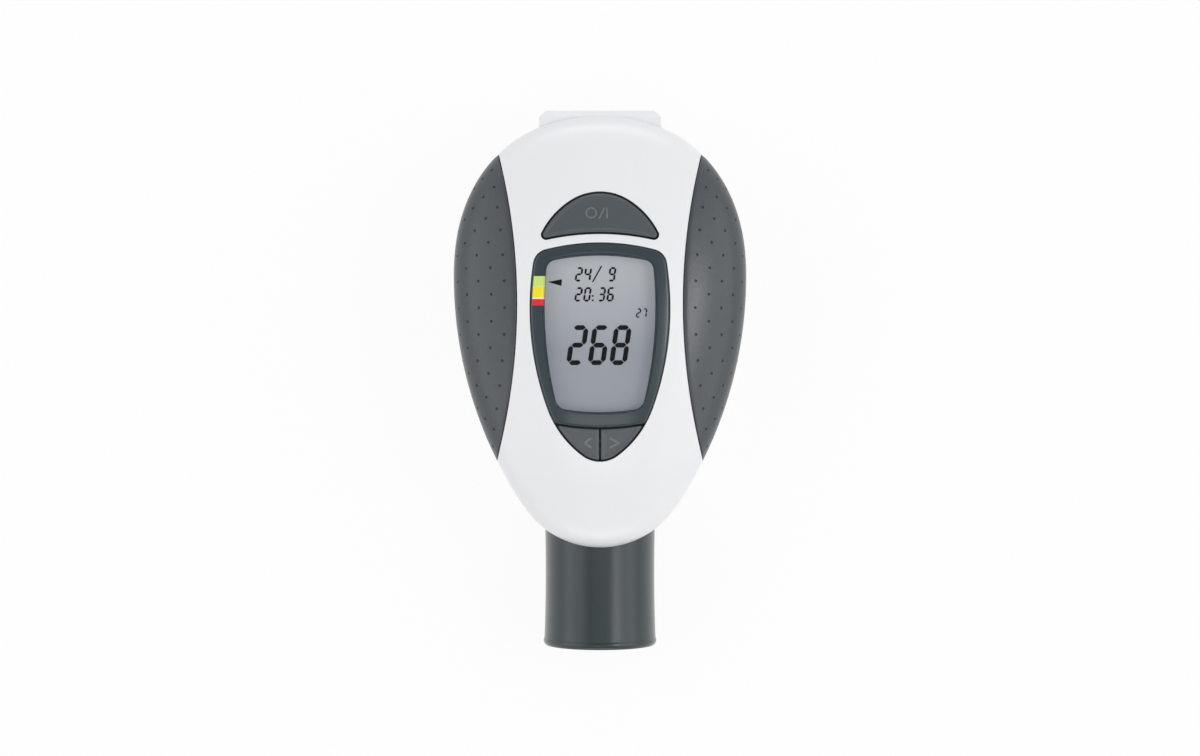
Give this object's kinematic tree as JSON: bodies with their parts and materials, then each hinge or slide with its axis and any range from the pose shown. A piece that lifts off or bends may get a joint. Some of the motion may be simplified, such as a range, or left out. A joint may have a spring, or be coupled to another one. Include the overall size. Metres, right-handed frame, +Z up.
{
  "type": "electronic peak flow meter",
  "caption": "Egg-shaped handheld breath flow meter with a display, keys, soft side grips, a pull-out turbine tube and a round mouthpiece.",
  "frame": {"origin": "on the table under the middle of the overall box, the meter lying on its back", "axes": "+X to the right of the display, +Y along the air tube to its exhaust end, +Z up out of the display"},
  "size_m": [0.0782, 0.144, 0.0474],
  "materials": {
    "white_shell": "fine satin moulded plastic",
    "soft_grip": "matt overmoulded elastomer with fine dimples",
    "dark_key": "matt silicone keys with raised marks",
    "bezel": "satin moulded plastic",
    "clear_window": "clear polished acrylic",
    "lcd": "grey liquid crystal glass",
    "reflector": "white film",
    "inner_plastic": "natural moulded plastic",
    "zebra": "layered contact rubber",
    "board": "green solder mask",
    "chip": "black moulded package",
    "plated_steel": "bright nickel plating",
    "sensor": "dark infrared resin",
    "tube": "dark smoke plastic",
    "seal": "black nitrile",
    "turbine": "pale moulded plastic",
    "bearing": "ruby cup bearing",
    "mouthpiece": "satin dark grey plastic",
    "cell_jacket": "plain printed jacket",
    "label": "printed colour film"
  },
  "bodies": {
    "casing": {"front_casing": "white_shell", "rear_casing": "white_shell", "left_grip": "soft_grip", "right_grip": "soft_grip", "display_bezel": "bezel", "display_window": "clear_window", "lcd_glass": "lcd", "lcd_reflector": "reflector", "lcd_frame": "inner_plastic", "contact_strip": "zebra", "power_key_dome": "zebra", "left_key_dome": "zebra", "right_key_dome": "zebra", "circuit_board": "board", "microcontroller": "chip", "radio_module": "board", "timing_crystal": "plated_steel", "infrared_emitter": "sensor", "infrared_detector": "sensor", "left_battery": "cell_jacket", "right_battery": "cell_jacket", "contact_plates": "plated_steel", "battery_springs": "plated_steel", "casing_screws": "plated_steel", "board_screws": "plated_steel", "zone_label": "label"},
    "power_key": {"power_button": "dark_key"},
    "left_key": {"left_arrow_button": "dark_key"},
    "right_key": {"right_arrow_button": "dark_key"},
    "door": {"battery_door": "white_shell"},
    "air_tube": {"measuring_tube": "tube", "tube_seal_ring": "seal", "inlet_swirler": "turbine", "outlet_swirler": "turbine", "inlet_bearing": "bearing", "outlet_bearing": "bearing"},
    "rotor": {"rotor_vane": "turbine", "rotor_shaft": "plated_steel"},
    "mouth": {"mouthpiece": "mouthpiece"}
  },
  "joints": [
    {"name": "power_key_press", "type": "slide", "parent": "casing", "child": "power_key", "axis": [0, 0, -1], "range_m": [0, 0.0008], "stiffness_N_per_m": 1200, "springref_m": -0.0004, "deforming": ["power_key_dome"]},
    {"name": "left_key_press", "type": "slide", "parent": "casing", "child": "left_key", "axis": [0, 0, -1], "range_m": [0, 0.0008], "stiffness_N_per_m": 1200, "springref_m": -0.0004, "deforming": ["left_key_dome"]},
    {"name": "right_key_press", "type": "slide", "parent": "casing", "child": "right_key", "axis": [0, 0, -1], "range_m": [0, 0.0008], "stiffness_N_per_m": 1200, "springref_m": -0.0004, "deforming": ["right_key_dome"]},
    {"name": "battery_door_lift", "type": "slide", "parent": "casing", "child": "door", "axis": [0, 0, -1], "range_m": [0, 0.025]},
    {"name": "measuring_tube_pull", "type": "slide", "parent": "casing", "child": "air_tube", "axis": [0, -1, 0], "range_m": [0, 0.12]},
    {"name": "mouthpiece_pull", "type": "slide", "parent": "air_tube", "child": "mouth", "axis": [0, -1, 0], "range_m": [0, 0.02]},
    {"name": "rotor_spin", "type": "hinge", "parent": "air_tube", "child": "rotor", "pos_m": [0, 0.002, 0.0174], "axis": [0, 1, 0], "continuous": true}
  ]
}
